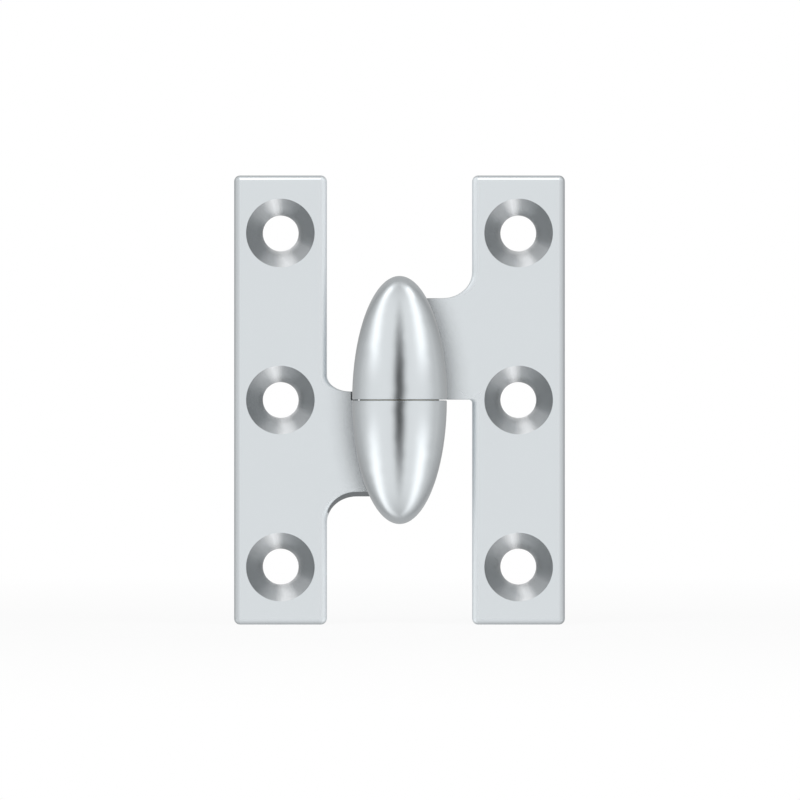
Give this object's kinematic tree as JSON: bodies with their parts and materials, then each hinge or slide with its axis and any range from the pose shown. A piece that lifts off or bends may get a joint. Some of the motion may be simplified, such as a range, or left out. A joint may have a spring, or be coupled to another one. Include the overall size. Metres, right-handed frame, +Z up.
{
  "type": "olive knuckle lift-off butt hinge",
  "caption": "Lift-off butt hinge with a slim egg-shaped knuckle: two narrow countersunk leaves on short arms, the upper leaf turning on a pin fixed in the lower one.",
  "frame": {"origin": "on the pin axis, at the middle of the knuckle's height, which is also the middle of the opened hinge", "axes": "+Z up along the pin, +X from the pin towards the door leaf with the hinge opened flat, -Y out of the countersunk faces"},
  "size_m": [0.0468, 0.0134, 0.0636],
  "materials": {
    "plated_brass": "satin",
    "pin_steel": "satin",
    "washer_brass": "satin"
  },
  "bodies": {
    "root": {"jamb_leaf": "plated_brass", "hinge_pin": "pin_steel"},
    "washer": {"thrust_washer": "washer_brass"},
    "door": {"door_leaf": "plated_brass"}
  },
  "joints": [
    {"name": "swing", "type": "hinge", "parent": "root", "child": "washer", "pos_m": [0, 0, 0], "axis": [0, 0, 1], "range_deg": [-180, 110]},
    {"name": "lift_off", "type": "slide", "parent": "washer", "child": "door", "axis": [0, 0, 1], "range_m": [0, 0.016]}
  ]
}
